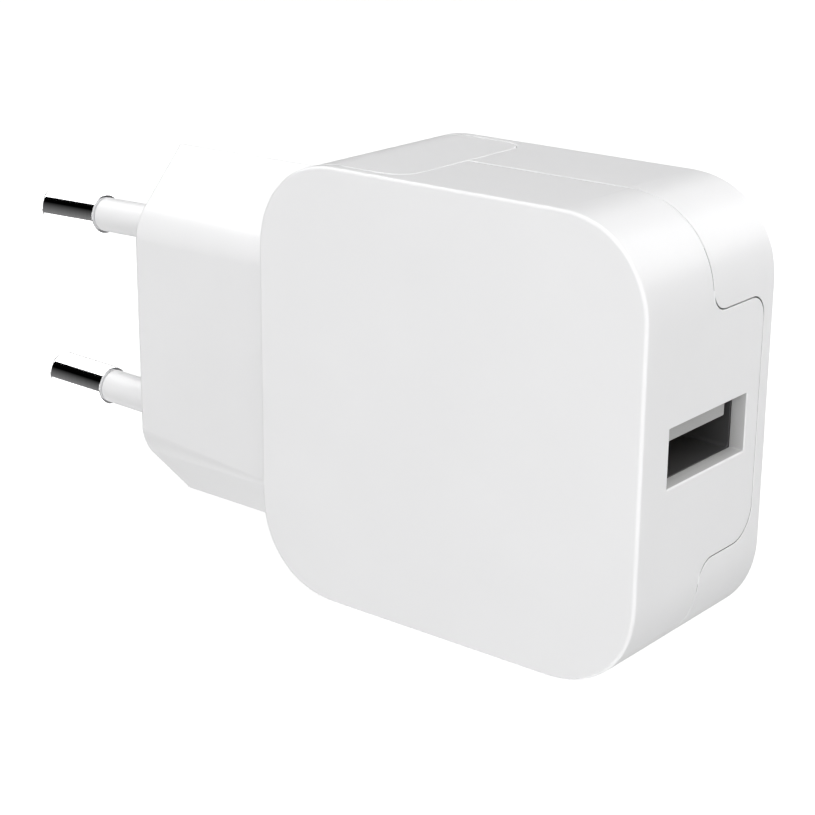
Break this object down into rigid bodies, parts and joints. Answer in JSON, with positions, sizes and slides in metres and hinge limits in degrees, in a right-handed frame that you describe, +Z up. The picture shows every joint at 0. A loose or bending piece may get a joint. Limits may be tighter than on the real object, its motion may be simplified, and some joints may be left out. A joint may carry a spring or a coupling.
{
  "type": "usb wall charger",
  "caption": "White two-pin USB wall charger: a rounded square two-shell case with a USB socket in one narrow face and a slide-off plug head with sleeved round pins.",
  "frame": {"origin": "centre of the plug's pin face, between the two pins", "axes": "+X runs from the pins to the USB face, +Z is up with the pins one above the other, and -Y is the near big face"},
  "size_m": [0.0802, 0.0204, 0.041],
  "materials": {
    "case": "satin white moulded polycarbonate",
    "plug": "satin white moulded polycarbonate",
    "pin_metal": "bright nickel plate",
    "sleeve": "white moulded nylon",
    "contact_brass": "stamped, satin",
    "terminal": "black moulded nylon",
    "spring_steel": "rolled strip",
    "board": "green solder mask",
    "insulation": "polyester film",
    "ferrite": "ground ferrite",
    "black_plastic": "moulded epoxy",
    "copper": "enamelled copper wire",
    "tape": "polyester tape",
    "capacitor_blue": "shrink sleeve",
    "capacitor_green": "shrink sleeve",
    "resistor": "lacquered",
    "disc_blue": "dipped epoxy",
    "chip_ceramic": "ceramic with tinned ends",
    "port_shell": "black oxide",
    "port_tongue": "light grey moulded",
    "contact_gold": "gold flash"
  },
  "bodies": {
    "case": {"near_shell": "case", "far_shell": "case", "terminal_plate": "terminal", "blade_upper": "contact_brass", "blade_lower": "contact_brass", "latch_spring": "spring_steel", "main_board": "board", "usb_board": "board", "insulation_sheet": "insulation", "core_left": "ferrite", "core_right": "ferrite", "bobbin": "black_plastic", "winding": "copper", "winding_tape": "tape", "input_capacitors": "capacitor_blue", "output_capacitors": "capacitor_green", "choke_core": "ferrite", "choke_winding": "copper", "fuse_resistor": "resistor", "bridge_rectifier": "black_plastic", "controller_chip": "black_plastic", "optocoupler": "black_plastic", "output_diode": "black_plastic", "safety_capacitor": "disc_blue", "chip_components": "chip_ceramic", "usb_shell": "port_shell", "usb_insulator": "port_tongue", "usb_contacts": "contact_gold"},
    "plug_head": {"plug_housing": "plug", "plug_cover": "plug", "pin_upper": "pin_metal", "pin_lower": "pin_metal", "sleeve_upper": "sleeve", "sleeve_lower": "sleeve", "clip_upper": "contact_brass", "clip_lower": "contact_brass"}
  },
  "joints": [
    {"name": "plug_head_slide", "type": "slide", "parent": "case", "child": "plug_head", "axis": [0, 0, 1], "range_m": [0, 0.04]}
  ]
}
